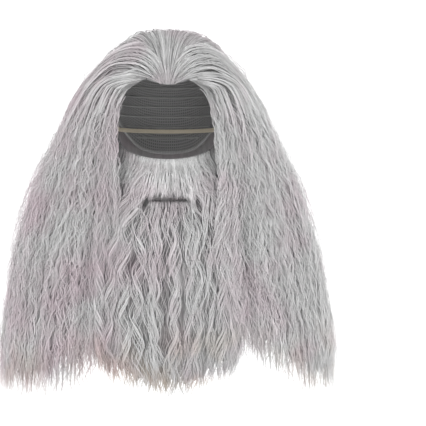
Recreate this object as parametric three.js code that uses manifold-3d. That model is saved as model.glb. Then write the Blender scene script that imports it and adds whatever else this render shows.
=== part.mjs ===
// A long grey wizard wig worn with its full beard. A hollow cap carries wavy locks that fall round the
// head as a bell, open at the face. The beard is a second field of locks, on a curved backing with a
// mouth slit, and a flat elastic strap holds it from cheek to cheek round the back of the head.
// Millimetres, +Z up. The wearer faces -Y. The origin is where the crown of the head meets the cap.

import * as THREE from "three";
import { mergeVertices } from "three/addons/utils/BufferGeometryUtils.js";
import Module from "manifold-3d";

const wasm = await Module();
wasm.setup();

const { abs, asin, cos, floor, min, max, PI, sin } = Math;
const { clamp, degToRad, lerp, seededRandom, smoothstep } = THREE.MathUtils;

// Driving dimensions
const GAP = 0.4; // clearance between pieces that lie against each other
const CAP_WALL = 1.6;
const BACKING_WALL = 1.8;
const COLUMNS = 32; // steps round the head
const WALL_SINK = 5; // the hair's wall lies this far under the crests of its locks

// Inside of the cap, from the crown down: half-width, and depth to the front and the back.
const HEAD = [
  { z: 0, side: 0, front: 0, back: 0 },
  { z: -3, side: 31, front: 39, back: 40 },
  { z: -16, side: 56, front: 70, back: 72 },
  { z: -36, side: 70, front: 87, back: 90 },
  { z: -62, side: 75.5, front: 94.5, back: 98 },
  { z: -90, side: 77, front: 96, back: 100 },
  { z: -120, side: 76, front: 95, back: 98 },
  { z: -150, side: 73, front: 92, back: 91 },
];
const CROWN_ROWS = 3; // rows of HEAD on which the hair lies close against the cap

// Edge of the cap, from the forehead round to the nape: the row of HEAD that it reaches.
const CAP_EDGE = [
  { azimuth: 0, row: 3.62 },
  { azimuth: 30, row: 3.72 },
  { azimuth: 60, row: 5.5 },
  { azimuth: 90, row: 4.7 },
  { azimuth: 120, row: 5.7 },
  { azimuth: 150, row: 6.7 },
  { azimuth: 180, row: 6.9 },
];

// Outer form of the wig's hair, from the crown down to the tips.
const BELL = [
  { z: 14, side: 0, front: 0, back: 0 },
  { z: 11, side: 34, front: 42, back: 42 },
  { z: -3, side: 62, front: 76, back: 78 },
  { z: -22, side: 85, front: 96, back: 103 },
  { z: -48, side: 106, front: 105, back: 119 },
  { z: -79, side: 125, front: 107, back: 128 },
  { z: -115, side: 143, front: 105, back: 134 },
  { z: -155, side: 161, front: 105, back: 139 },
  { z: -200, side: 180, front: 108, back: 144 },
  { z: -250, side: 197, front: 113, back: 149 },
  { z: -305, side: 209, front: 119, back: 155 },
  { z: -360, side: 218, front: 124, back: 161 },
  { z: -415, side: 226, front: 128, back: 166 },
  { z: -473, side: 230, front: 130, back: 169 },
];

// Inner form of the wig's hair below the crown, from the hairline down to the hem of the wall.
const HOLLOW = [
  { z: -62, side: 80.5, front: 99.5, back: 103.5 },
  { z: -92, side: 86, front: 98, back: 107 },
  { z: -124, side: 97, front: 96, back: 112 },
  { z: -160, side: 113, front: 94, back: 117 },
  { z: -206, side: 136, front: 92, back: 122 },
  { z: -256, side: 158, front: 93, back: 127 },
  { z: -311, side: 174, front: 97, back: 132 },
  { z: -366, side: 188, front: 103, back: 139 },
  { z: -500, side: 188, front: 103, back: 139 },
];
// Hem of the wall: it ends in tufts, with notches between them, and its underside rises to an inner edge.
const HEM = { tuft: -470, notch: -424, uneven: 26 };
const HEM_INSIDE = { z: -366, side: 186, front: 100, back: 136 };

// Half-width of the gap between the two side curtains, seen from the front, from the hairline to the tips.
// The face shows in its upper part and the beard fills the rest.
const FACE_GAP = [
  { x: 17, z: -58.5 },
  { x: 36, z: -56.5 },
  { x: 52, z: -62 },
  { x: 60, z: -74 },
  { x: 62.5, z: -100 },
  { x: 63, z: -130 },
  { x: 66, z: -165 },
  { x: 75, z: -205 },
  { x: 84, z: -250 },
  { x: 89, z: -300 },
  { x: 93, z: -350 },
  { x: 96, z: -420 },
  { x: 97, z: -500 },
];
const WIDOWS_PEAK = { x: 0, z: -62.5 };

// The locks of one side of the wig, from the edge of the face round to behind the ear. They leave the
// cap at the hairline, sweep up and back by rise, and then fall to their place at the hem.
const SIDE_LOCKS = [
  { rootAzimuth: 33, rootLevel: 4.9, rise: 0, hemAzimuth: 28, hemLevel: 12.1 },
  { rootAzimuth: 28, rootLevel: 4.4, rise: 0.7, hemAzimuth: 40, hemLevel: 12.6 },
  { rootAzimuth: 14, rootLevel: 4.1, rise: 1.5, hemAzimuth: 57, hemLevel: 12.9 },
  { rootAzimuth: 3, rootLevel: 4.3, rise: 2, hemAzimuth: 75, hemLevel: 13 },
  { rootAzimuth: 5, rootLevel: 3.2, rise: 1.3, hemAzimuth: 92, hemLevel: 13 },
  { rootAzimuth: 28, rootLevel: 1.2, rise: 0, hemAzimuth: 112, hemLevel: 13 },
];
const SIDE_COUNT = 11;
// The locks at the back fall straight from the crown.
const BACK_LOCKS = { count: 9, from: 122, to: 238, rootLevel: 0.9, hemLevel: 12.9 };
const BACK_FROM = 116; // azimuth of the seam between a side field and the back field

// A lock has its full size from one share of its length to another, and waves fully from a third share on.
const LOCK_SHARES = { full: 0.2, tapers: 0.72, waves: 0.45 };
// A wig lock has risen and come down again, and has turned to its place, by these shares of its length.
const WIG_FLOW = { risen: 0.36, turned: 0.6, fall: 1.25, rootSink: 1.3, sink: 0.9 };
const WIG_LOCK = { halfWidth: 19, halfDepth: 8, wave: 7, period: 160, steps: 9, sides: 4 };
const BEARD_LOCK = { halfWidth: 12, halfDepth: 6, wave: 5, period: 100, steps: 7, sides: 4 };
const MOUSTACHE_LOCK = { halfWidth: 5.2, halfDepth: 2.6, wave: 0.8, period: 60, steps: 3, sides: 4 };

// Back of the beard's hair, from its top edge down: height at the middle and at the sides, half-width,
// and how far forward the middle and the sides lie. thick is the depth of the hair there.
const BEARD = [
  { z: -163, zSide: -126, half: 70, front: -110, edge: -16, thick: 2.2 },
  { z: -188, zSide: -156, half: 71, front: -111.5, edge: -24, thick: 11 },
  { z: -217, zSide: -192, half: 73, front: -112, edge: -42, thick: 16 },
  { z: -250, zSide: -232, half: 79, front: -112, edge: -66, thick: 20 },
  { z: -298, zSide: -284, half: 84, front: -113, edge: -84, thick: 23 },
  { z: -348, zSide: -334, half: 87, front: -114, edge: -92, thick: 23 },
  { z: -396, zSide: -378, half: 84, front: -114, edge: -97, thick: 18 },
  { z: -432, zSide: -408, half: 64, front: -113, edge: -102, thick: 11 },
  { z: -452, zSide: -424, half: 40, front: -112, edge: -106, thick: 3 },
];
const BEARD_COLUMNS = 16;
// The beard's locks: the middle ones have their roots under the mouth, and the others on the cheeks.
const BEARD_LOCKS = {
  count: 11,
  spread: 0.86,
  chin: 0.5,
  chinRow: 2.2,
  cheekRow: 0.9,
  tipZ: -474,
  cornerZ: -436,
};
const UNEVEN = { root: 0.5, tip: 14 }; // rows and millimetres by which neighbouring beard locks differ
const BACKING_ROWS = [0, 0.5, 1, 1.5, 2, 2.5, 3]; // rows of BEARD that the backing covers, down to the chin
const MOUTH = { half: 23, z: -217, height: 8 };
const MIDDLE_BACK = -40; // cuts made through the middle of the beard start in front of this Y
// Half of the moustache's outline, seen from the front, from the top edge down to the mouth slit.
const MOUSTACHE = [
  { x: 24, z: -140 },
  { x: 26, z: -172 },
  { x: 31, z: -192 },
  { x: 39, z: -206 },
  { x: 34, z: -212.5 },
];
const MOUSTACHE_COUNT = 7;

const STRAP = { width: 6, thick: 1, inset: 1.6, clear: 1.3, row: 5.9, azimuth: 100, steps: 30 };

// Value of one column of a table between its rows, on a smooth curve through them.
function between(rows, name, at) {
  const i = clamp(floor(at), 0, rows.length - 2);
  const row = (k) => rows[clamp(k, 0, rows.length - 1)][name];
  const [a, b, c, d] = [row(i - 1), row(i), row(i + 1), row(i + 2)];
  const t = at - i;
  return b + 0.5 * t * (c - a + t * (2 * a - 5 * b + 4 * c - d + t * (3 * (b - c) + d - a)));
}

// Point at an azimuth on a section: 0 is the front, 90 the wearer's left and 180 the back.
function onSection(section, azimuth) {
  const turn = degToRad(azimuth);
  const depth = cos(turn) > 0 ? section.front : section.back;
  return new THREE.Vector3(section.side * sin(turn), -depth * cos(turn), section.z);
}

// Section of a table of sections at a fractional row.
function sectionAt(rows, at) {
  const value = (name) => between(rows, name, at);
  return { z: value("z"), side: value("side"), front: value("front"), back: value("back") };
}

// A section moved outwards all round, and upwards on the crown.
function grown(section, by) {
  const { z, side, front, back } = section;
  if (side === 0) return { ...section, z: z + by };
  return { z: z + by / 2, side: side + by, front: front + by, back: back + by };
}

// Closed solid through rings of equal numbers of points. A ring whose points coincide closes an end.
function skin(rings) {
  const around = rings[0].length;
  const corners = rings.flat().flatMap((p) => [p.x, p.y, p.z]);
  const faces = [];
  for (let r = 0; r + 1 < rings.length; r++)
    for (let i = 0; i < around; i++) {
      const [a, b] = [r * around + i, r * around + ((i + 1) % around)];
      faces.push(a, b, b + around, a, b + around, a + around);
    }
  const geometry = new THREE.BufferGeometry();
  geometry.setAttribute("position", new THREE.Float32BufferAttribute(corners, 3));
  geometry.setIndex(faces);
  return solid(geometry);
}

// A three.js geometry as a solid with its faces pointing out.
function solid(geometry) {
  geometry.deleteAttribute("normal");
  geometry.deleteAttribute("uv");
  const merged = mergeVertices(geometry, 1e-3);
  const triples = [];
  for (let i = 0; i < merged.index.count; i += 3) {
    const [a, b, c] = [0, 1, 2].map((k) => merged.index.getX(i + k));
    if (a !== b && b !== c && c !== a) triples.push([a, b, c]);
  }
  const vertProperties = merged.attributes.position.array;
  const make = (list) =>
    new wasm.Manifold(new wasm.Mesh({ numProp: 3, vertProperties, triVerts: new Uint32Array(list.flat()) }));
  const made = make(triples);
  return made.volume() > 0 ? made : make(triples.map(([a, b, c]) => [a, c, b]));
}

// The largest body of a solid, without the crumbs that a cut can leave beside it.
function largest(made) {
  return made.decompose().reduce((best, body) => (body.volume() > best.volume() ? body : best));
}

function joined(solids) {
  return solids.reduce((all, one) => all.add(one));
}

// Solid with the front outline of a shape, running through the front half of the object.
function frontPrism(outline, back) {
  const depth = 400;
  const shape = new THREE.Shape(outline);
  const geometry = new THREE.ExtrudeGeometry(shape, { depth, bevelEnabled: false, steps: 1 });
  // The shape's Y becomes height, and the extrusion runs from the back towards the wearer's front.
  geometry.rotateX(PI / 2);
  geometry.translate(0, back, 0);
  return solid(geometry);
}

// Both halves of a front outline, from its wearer's-left half, made narrower by inset.
function bothHalves(table, inset) {
  const half = table.map(({ x, z }) => new THREE.Vector2(x - inset, z));
  return [...half, ...half.map((p) => new THREE.Vector2(-p.x, p.y)).reverse()];
}

// Outline of the gap between the curtains, made narrower by inset.
function gapOutline(inset) {
  return [...bothHalves(FACE_GAP, inset), new THREE.Vector2(WIDOWS_PEAK.x, WIDOWS_PEAK.z)];
}

// Half-section wedge round the vertical axis, between two azimuths, pulled in by half a gap on each side.
function wedge(from, to) {
  const reach = 700;
  const steps = 4;
  const rim = Array.from({ length: steps + 1 }, (_, i) => {
    const turn = degToRad(lerp(from, to, i / steps));
    return new THREE.Vector2(reach * sin(turn), -reach * cos(turn));
  });
  const middle = degToRad((from + to) / 2);
  const pull = GAP / 2 / sin(degToRad((to - from) / 2));
  const shape = new THREE.Shape([new THREE.Vector2(0, 0), ...rim]);
  const geometry = new THREE.ExtrudeGeometry(shape, { depth: 2 * reach, bevelEnabled: false, steps: 1 });
  geometry.translate(pull * sin(middle), -pull * cos(middle), -reach);
  return solid(geometry);
}

// The cap's edge row at an azimuth.
function capEdge(azimuth) {
  const step = CAP_EDGE[1].azimuth;
  return between(CAP_EDGE, "row", (azimuth > 180 ? 360 - azimuth : azimuth) / step);
}

// Rings of points round the head, one for each section.
function ringOf(section) {
  return Array.from({ length: COLUMNS }, (_, i) => onSection(section, (360 * i) / COLUMNS));
}

// The hollow cap: a dome whose edge rises over the forehead and the ears and drops to the nape.
function wigCap() {
  const skirtSteps = 4;
  const ring = (row, thickness) =>
    Array.from({ length: COLUMNS }, (_, i) => {
      const azimuth = (360 * i) / COLUMNS;
      const down = max(0, row - CROWN_ROWS) / skirtSteps;
      const at = down === 0 ? row : lerp(CROWN_ROWS, capEdge(azimuth), down);
      return onSection(grown(sectionAt(HEAD, at), thickness), azimuth);
    });
  const rows = Array.from({ length: CROWN_ROWS + skirtSteps + 1 }, (_, row) => row);
  return skin([...rows.map((row) => ring(row, CAP_WALL)), ...rows.reverse().map((row) => ring(row, 0))]);
}

// A section shrunk to a point on the vertical axis.
function pole(z) {
  return ringOf({ z, side: 0, front: 0, back: 0 });
}

// The edge of the wall, with every second point at the tip of a tuft.
function hemRing() {
  const { side, front, back } = grown(BELL.at(-2), -WALL_SINK);
  return Array.from({ length: COLUMNS }, (_, i) => {
    const z = (i % 2 ? HEM.notch : HEM.tuft) + HEM.uneven * seededRandom(13 * i + 1);
    return onSection({ z, side, front, back }, (360 * i) / COLUMNS);
  });
}

// The mass of hair under the locks, still filled: the bell from the crown to the hem.
function hairBell() {
  const sink = (row) => min(WALL_SINK, 2 + 2 * row);
  const outside = BELL.slice(0, -2).map((section, row) => ringOf(grown(section, -sink(row))));
  return skin([...outside, hemRing(), ringOf(HEM_INSIDE), pole(HEM_INSIDE.z)]);
}

// The space inside the wig's hair: the cap fills its crown, and it widens below the cap.
function hairHollow() {
  const onCap = HEAD.slice(0, CROWN_ROWS + 1).map((section) => ringOf(grown(section, CAP_WALL + GAP)));
  const leaving = ringOf(grown(sectionAt(HEAD, CROWN_ROWS + 0.5), CAP_WALL + 3 * GAP));
  return skin([...onCap, leaving, ...HOLLOW.map(ringOf), pole(HOLLOW.at(-1).z)]);
}

// Point of the wig's outer form and the direction out of it.
function onBell(azimuth, level) {
  const point = (a, l) => onSection(sectionAt(BELL, l), a);
  const small = 0.05;
  const round = point(azimuth + 1, level).sub(point(azimuth - 1, level));
  const down = point(azimuth, level + small).sub(point(azimuth, level - small));
  return { point: point(azimuth, level), out: down.cross(round).normalize() };
}

// A lock: a flattened tube along a course of points, thin at both ends, that waves from side to side.
function lock(course, size, phase) {
  const { halfWidth, halfDepth, wave, period, sides } = size;
  const path = new THREE.CatmullRomCurve3(course.map(({ point }) => point));
  const length = path.getLength();
  const rings = course.map(({ point, out }, i) => {
    const t = i / (course.length - 1);
    const ahead = course[min(i + 1, course.length - 1)].point;
    const behind = course[max(i - 1, 0)].point;
    const along = ahead.clone().sub(behind).normalize();
    const across = along.clone().cross(out).normalize();
    const ends = min(1, t / LOCK_SHARES.full) * (1 - smoothstep(t, LOCK_SHARES.tapers, 1));
    const swing = wave * smoothstep(t, 0, LOCK_SHARES.waves) * sin((2 * PI * t * length) / period + phase);
    const centre = point.clone().addScaledVector(across, swing);
    return Array.from({ length: sides }, (_, k) => {
      const turn = (2 * PI * k) / sides + PI / 2;
      return centre
        .clone()
        .addScaledVector(across, ends * halfWidth * cos(turn))
        .addScaledVector(out, ends * halfDepth * sin(turn));
    });
  });
  return skin(rings);
}

// Course of one wig lock: from its root on the hairline or crown, over the head, to its place at the hem.
function wigCourse({ rootAzimuth, rootLevel, rise, hemAzimuth, hemLevel }) {
  return Array.from({ length: WIG_LOCK.steps + 1 }, (_, i) => {
    const t = i / WIG_LOCK.steps;
    const azimuth = lerp(rootAzimuth, hemAzimuth, smoothstep(t, 0, WIG_FLOW.turned));
    const lifted = rise * sin(PI * clamp(t / WIG_FLOW.risen, 0, 1));
    const level = lerp(rootLevel, hemLevel, t ** WIG_FLOW.fall) - lifted;
    const { point, out } = onBell(azimuth, level);
    const sink = lerp(WIG_FLOW.rootSink, WIG_FLOW.sink, smoothstep(t, 0, WIG_FLOW.risen));
    return { point: point.addScaledVector(out, -sink * WIG_LOCK.halfDepth), out };
  });
}

// The locks of one side field, mirrored by turn to the wearer's right where turn is -1.
function sideLocks(turn) {
  return Array.from({ length: SIDE_COUNT }, (_, i) => {
    const at = (i / (SIDE_COUNT - 1)) * (SIDE_LOCKS.length - 1);
    const value = (name) => between(SIDE_LOCKS, name, at);
    const shorter = 0.5 * seededRandom(31 * i + (turn > 0 ? 5 : 11));
    const course = wigCourse({
      rootAzimuth: turn * value("rootAzimuth"),
      rootLevel: value("rootLevel"),
      rise: value("rise"),
      hemAzimuth: turn * value("hemAzimuth"),
      hemLevel: value("hemLevel") - shorter,
    });
    return lock(course, WIG_LOCK, 2.4 * i);
  });
}

function backLocks() {
  const { count, from, to, rootLevel, hemLevel } = BACK_LOCKS;
  return Array.from({ length: count }, (_, i) => {
    const azimuth = lerp(from, to, i / (count - 1));
    const shorter = 0.6 * seededRandom(17 * i + 3);
    const course = wigCourse({
      rootAzimuth: azimuth,
      rootLevel: rootLevel + 0.5 * (i % 2),
      rise: 0,
      hemAzimuth: azimuth,
      hemLevel: hemLevel - shorter,
    });
    return lock(course, WIG_LOCK, 2.1 * i);
  });
}

// The three fields of wig hair: the wall and the locks in one, cut at the face and along the seams.
function wigFields() {
  const hair = joined([hairBell(), ...sideLocks(1), ...sideLocks(-1), ...backLocks()]);
  const open = hair.subtract(hairHollow()).subtract(frontPrism(gapOutline(0), -4));
  return {
    left_hair: largest(open.intersect(wedge(0, BACK_FROM))),
    back_hair: largest(open.intersect(wedge(BACK_FROM, 360 - BACK_FROM))),
    right_hair: largest(open.intersect(wedge(360 - BACK_FROM, 360))),
  };
}

// Point of the beard at a row, and at a share across it from -1 to 1, lifted off its back.
function onBeard(across, row, lift) {
  const value = (name) => between(BEARD, name, row);
  const turn = (across * PI) / 2;
  const out = new THREE.Vector3(sin(turn) * 0.8, -1, 0).normalize();
  const z = lerp(value("z"), value("zSide"), across * across);
  const y = lerp(value("edge"), value("front"), cos(turn));
  return { point: new THREE.Vector3(value("half") * sin(turn), y, z).addScaledVector(out, lift), out };
}

// Closed sheet over the beard between two rows: back and front give its two faces, as lifts at a row.
function beardSheet(rows, half, back, front) {
  const shares = Array.from({ length: BEARD_COLUMNS + 1 }, (_, i) => half * lerp(-1, 1, i / BEARD_COLUMNS));
  const rings = rows.map((row) => [
    ...shares.map((across) => onBeard(across, row, front(row)).point),
    ...shares.toReversed().map((across) => onBeard(across, row, back(row)).point),
  ]);
  const folded = (ring) => {
    const face = ring.slice(0, shares.length);
    const rear = ring.slice(shares.length).reverse();
    const edge = face.map((p, i) => p.clone().lerp(rear[i], 0.5));
    return [...edge, ...edge.toReversed()];
  };
  return skin([folded(rings[0]), ...rings, folded(rings.at(-1))]);
}

// Outline of the mouth slit, seen from the front.
function mouthSlit() {
  const { half, z, height } = MOUTH;
  return bothHalves([{ x: half, z: z + height / 2 }, { x: half, z: z - height / 2 }], 0);
}

// The curved panel under the beard's hair, pierced by the mouth slit.
function beardBacking() {
  const panel = beardSheet(BACKING_ROWS, 1, () => -GAP - BACKING_WALL, () => -GAP);
  return panel.subtract(frontPrism(mouthSlit(), MIDDLE_BACK));
}

// Course of one beard lock, from its root on the backing down to its tip.
function beardCourse(across, rootRow, tipZ) {
  const rows = BEARD.length - 1;
  return Array.from({ length: BEARD_LOCK.steps + 1 }, (_, i) => {
    const t = i / BEARD_LOCK.steps;
    const row = lerp(rootRow, rows, t);
    const { point, out } = onBeard(across, row, max(between(BEARD, "thick", row) - 3, 2));
    const bottom = onBeard(across, rows, 0).point.z;
    point.z -= smoothstep(t, 0.7, 1) * (bottom - tipZ);
    return { point, out };
  });
}

// The field of long beard locks, cut clear of the curtains at its sides and of the moustache above.
function beardHair() {
  const free = BEARD.keys().filter((row) => row > BACKING_ROWS.at(-1));
  const rows = [...BACKING_ROWS, ...free];
  const field = beardSheet(rows, 1, () => 0, (row) => max(between(BEARD, "thick", row) - 4, 1));
  const { count, spread, chin, chinRow, cheekRow, tipZ, cornerZ } = BEARD_LOCKS;
  const locks = Array.from({ length: count }, (_, i) => {
    const across = spread * lerp(-1, 1, i / (count - 1));
    const rootRow = (abs(across) < chin ? chinRow : cheekRow) + UNEVEN.root * (i % 2);
    const tip = lerp(tipZ, cornerZ, abs(across) ** 1.5) + UNEVEN.tip * seededRandom(7 * i + 2);
    return lock(beardCourse(across, rootRow, tip), BEARD_LOCK, 2.2 * i);
  });
  const behind = beardSheet(BACKING_ROWS, 1, () => -BEARD_LOCK.halfWidth, () => 0);
  const whole = joined([field, ...locks])
    .subtract(behind)
    .subtract(frontPrism(bothHalves(MOUSTACHE, -GAP), MIDDLE_BACK))
    .subtract(frontPrism(mouthSlit(), MIDDLE_BACK));
  return largest(whole.intersect(frontPrism(gapOutline(2 * GAP), 0)));
}

// The short locks between the beard's top edge and the mouth slit.
function moustacheHair() {
  const bottomRow = 1.9;
  const widest = max(...MOUSTACHE.map(({ x }) => x)) / between(BEARD, "half", 0);
  const half = (2 / PI) * asin(widest);
  const rows = [...BACKING_ROWS.filter((row) => row < bottomRow), bottomRow];
  const field = beardSheet(rows, half, () => GAP, (row) => between(BEARD, "thick", row) - 1);
  const locks = Array.from({ length: MOUSTACHE_COUNT }, (_, i) => {
    const side = BEARD_LOCKS.spread * lerp(-1, 1, i / (MOUSTACHE_COUNT - 1));
    const course = Array.from({ length: MOUSTACHE_LOCK.steps + 1 }, (_, k) => {
      const t = k / MOUSTACHE_LOCK.steps;
      const row = lerp(0.15, bottomRow, t);
      return onBeard(half * side * lerp(0.6, 1, t), row, between(BEARD, "thick", row) - 1.6);
    });
    return lock(course, MOUSTACHE_LOCK, 1.7 * i);
  });
  return largest(joined([field, ...locks]).intersect(frontPrism(bothHalves(MOUSTACHE, 0), MIDDLE_BACK)));
}

// The flat elastic: it lies inside the cap at the back and ends at the backing's corners.
function beardStrap() {
  const { width, thick, inset, clear, row, azimuth, steps } = STRAP;
  const section = grown(sectionAt(HEAD, row), -inset - thick / 2);
  const corner = onBeard(1, 0.35, -GAP - BACKING_WALL / 2).point;
  const middle = Array.from({ length: steps - 1 }, (_, i) => {
    return onSection(section, lerp(azimuth, 360 - azimuth, i / (steps - 2)));
  });
  const start = new THREE.Vector3(corner.x, corner.y + clear, corner.z);
  const end = new THREE.Vector3(-start.x, start.y, start.z);
  const points = [start, ...middle, end];
  const path = new THREE.CatmullRomCurve3(points, false, "centripetal");
  const rings = Array.from({ length: steps + 1 }, (_, i) => {
    const centre = path.getPointAt(i / steps);
    const along = path.getTangentAt(i / steps);
    const out = new THREE.Vector3(along.y, -along.x, 0).normalize();
    const ring = [[1, 1], [1, -1], [-1, -1], [-1, 1]].map(([o, up]) =>
      centre.clone().addScaledVector(out, (o * thick) / 2).add(new THREE.Vector3(0, 0, (up * width) / 2)),
    );
    return { centre, ring };
  });
  const end4 = ({ centre }) => Array.from({ length: 4 }, () => centre);
  return skin([end4(rings[0]), ...rings.map(({ ring }) => ring), end4(rings.at(-1))]);
}

// Finishes
const HAIR = { color: 0xb4b2b4, roughness: 0.55, metalness: 0 };
const BEARD_HAIR = { color: 0xb0aeb0, roughness: 0.55, metalness: 0 };
const CAP_NET = { color: 0x6c6a6c, roughness: 0.85, metalness: 0 };
const BACKING_CLOTH = { color: 0x8a878a, roughness: 0.9, metalness: 0 };
const ELASTIC = { color: 0xe2d6c4, roughness: 0.8, metalness: 0 };

// A solid as a named mesh of the object.
function piece(name, made, finish) {
  const { vertProperties, triVerts, numProp } = made.getMesh();
  const geometry = new THREE.BufferGeometry();
  const corners = new THREE.InterleavedBuffer(vertProperties, numProp);
  geometry.setAttribute("position", new THREE.InterleavedBufferAttribute(corners, 3, 0));
  geometry.setIndex(new THREE.BufferAttribute(triVerts, 1));
  geometry.computeVertexNormals();
  const mesh = new THREE.Mesh(geometry, new THREE.MeshStandardMaterial(finish));
  mesh.name = name;
  return mesh;
}

const wig = new THREE.Group();
wig.name = "wig";
wig.add(piece("wig_cap", wigCap(), CAP_NET));
for (const [name, field] of Object.entries(wigFields())) wig.add(piece(name, field, HAIR));

const beard = new THREE.Group();
beard.name = "beard";
beard.add(piece("beard_backing", beardBacking(), BACKING_CLOTH));
beard.add(piece("beard_hair", beardHair(), BEARD_HAIR));
beard.add(piece("moustache_hair", moustacheHair(), BEARD_HAIR));
beard.add(piece("beard_strap", beardStrap(), ELASTIC));

const wizardWig = new THREE.Group();
wizardWig.add(wig, beard);

export default wizardWig;
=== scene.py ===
# %% [markdown]
# # A grey wizard wig with its beard
# The frame holds the plain solids of the wig: a cap, three fields of hair, and a beard with its backing,
# moustache and elastic. This lesson dresses them. The hair becomes thousands of waved strands, and the
# cap, the backing and the elastic become cloth.

# %% Load the frame
import math
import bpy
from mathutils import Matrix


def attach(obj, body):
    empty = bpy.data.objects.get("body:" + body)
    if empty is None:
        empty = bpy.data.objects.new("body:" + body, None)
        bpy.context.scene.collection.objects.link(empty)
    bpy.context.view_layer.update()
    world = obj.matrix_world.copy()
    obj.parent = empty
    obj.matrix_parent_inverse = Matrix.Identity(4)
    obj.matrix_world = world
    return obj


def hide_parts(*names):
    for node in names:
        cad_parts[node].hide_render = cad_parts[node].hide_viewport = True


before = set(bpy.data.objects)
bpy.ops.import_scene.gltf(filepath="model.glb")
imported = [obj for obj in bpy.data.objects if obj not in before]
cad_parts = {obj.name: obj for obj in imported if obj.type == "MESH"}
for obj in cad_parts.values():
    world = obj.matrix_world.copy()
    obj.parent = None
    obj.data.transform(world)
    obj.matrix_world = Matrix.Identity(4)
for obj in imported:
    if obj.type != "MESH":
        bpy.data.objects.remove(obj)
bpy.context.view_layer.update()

from types import SimpleNamespace

import bpy
import numpy as np
from mathutils import Vector

MM = 0.001
FULL_TURN = 2 * math.pi
print("nodes:", sorted(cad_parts))

# %% [markdown]
# ## Camera, light and floor
# The camera stands well back from the face with a long lens, level with the middle of the hair, as for a
# catalogue picture. It turns a little to one side, so that the wig sits left of the middle of the frame.
# Wide soft lights and a white surround keep the shadows between the locks gentle.

# %% Camera
FACE_Y = -105 * MM
FRAME_WIDTH = 575 * MM  # what the picture spans at the face
CAMERA_BACK = 1.8
CAMERA_RISE = 30 * MM
SENSOR = 36.0
AIM = Vector((60.8 * MM, FACE_Y, -235.7 * MM))

camera_data = bpy.data.cameras.new("camera")
camera_data.sensor_width = SENSOR
camera_data.lens = SENSOR * CAMERA_BACK / FRAME_WIDTH
camera = bpy.data.objects.new("camera", camera_data)
bpy.context.scene.collection.objects.link(camera)
camera.location = (0, FACE_Y - CAMERA_BACK, AIM.z + CAMERA_RISE)
camera.rotation_euler = (AIM - camera.location).to_track_quat("-Z", "Y").to_euler()
bpy.context.scene.camera = camera
print("lens:", round(camera_data.lens, 1), "mm")

# %% Light
SURROUND = 1.18
WHITE = (1, 1, 1, 1)
HAIR_MIDDLE = Vector((0, 0, -0.22))
LAMPS = [  # name, place, size and power
    ("key", (-0.7, -1.8, 0.8), 1.2, 7),
    ("fill", (1.3, -1.5, 0.2), 1.2, 4),
    ("top", (0.0, 0.2, 1.3), 1.2, 3),
    ("low", (0.1, -1.6, -0.35), 0.8, 5),
    ("back", (0.3, 1.6, 0.5), 1.4, 5),
]


def soft_lamp(name, place, size, power):
    """A square lamp that faces the middle of the hair."""
    data = bpy.data.lights.new(name, "AREA")
    data.size = size
    data.energy = power
    lamp = bpy.data.objects.new(name, data)
    bpy.context.scene.collection.objects.link(lamp)
    lamp.location = place
    lamp.rotation_euler = (HAIR_MIDDLE - lamp.location).to_track_quat("-Z", "Y").to_euler()


for row in LAMPS:
    soft_lamp(*row)

world = bpy.data.worlds.new("surround")
bpy.context.scene.world = world
world.use_nodes = True
world.node_tree.nodes["Background"].inputs["Color"].default_value = WHITE
world.node_tree.nodes["Background"].inputs["Strength"].default_value = SURROUND
bpy.context.scene.view_settings.view_transform = "Standard"
print("lamps:", len(LAMPS))

# %% Floor
FLOOR = {"z": -0.66, "size": 60.0, "grey": 250, "roughness": 0.9}


def linear(grey_or_rgb):
    """Linear colour from display values between 0 and 255, by the usual display curve."""
    values = np.broadcast_to(np.asarray(grey_or_rgb, float), (3,)) / 255
    bright = np.where(values <= 0.04045, values / 12.92, ((values + 0.055) / 1.055) ** 2.4)
    return (*[float(v) for v in bright], 1.0)


def new_material(name):
    """A material, its node tree and its shader."""
    material = bpy.data.materials.new(name)
    material.use_nodes = True
    tree = material.node_tree
    return material, tree, tree.nodes["Principled BSDF"]


bpy.ops.object.select_all(action="DESELECT")
bpy.ops.mesh.primitive_plane_add(size=FLOOR["size"], location=(0, 0, FLOOR["z"]))
floor = bpy.context.object
floor.name = "floor"
floor_finish, _, floor_shader = new_material("floor_white")
floor_shader.inputs["Base Color"].default_value = linear(FLOOR["grey"])
floor_shader.inputs["Roughness"].default_value = FLOOR["roughness"]
floor.data.materials.append(floor_finish)
print("floor at", FLOOR["z"])

# %% [markdown]
# ## The forms that the hair follows
# Hair is easiest to grow on a form. These short tables give the inside of the cap, the outer bell of the
# wig and the beard. They are close to the forms of the solids, and a little fuller at the crown and the
# sides, where loose hair stands off. A smooth curve runs through each column, so any place on a form can
# be asked for.

# %% Tables of the forms, in millimetres
CAP_WALL = 1.6
#       z, side, front, back
HEAD = np.array([
    (0, 0, 0, 0),
    (-3, 31, 39, 40),
    (-16, 56, 70, 72),
    (-36, 70, 87, 90),
    (-62, 75.5, 94.5, 98),
    (-90, 77, 96, 100),
    (-120, 76, 95, 98),
    (-150, 73, 92, 91),
]) * MM
#       z, side, front, back
BELL = np.array([
    (25, 0, 0, 0),
    (20, 37, 44, 44),
    (6, 65, 78, 80),
    (-17, 88, 98, 105),
    (-48, 106, 105, 119),
    (-79, 125, 107, 128),
    (-115, 143, 105, 134),
    (-155, 161, 105, 139),
    (-200, 180, 108, 144),
    (-250, 197, 113, 149),
    (-305, 212, 119, 155),
    (-360, 222, 124, 161),
    (-415, 231, 128, 166),
    (-488, 236, 130, 169),
]) * MM
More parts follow.
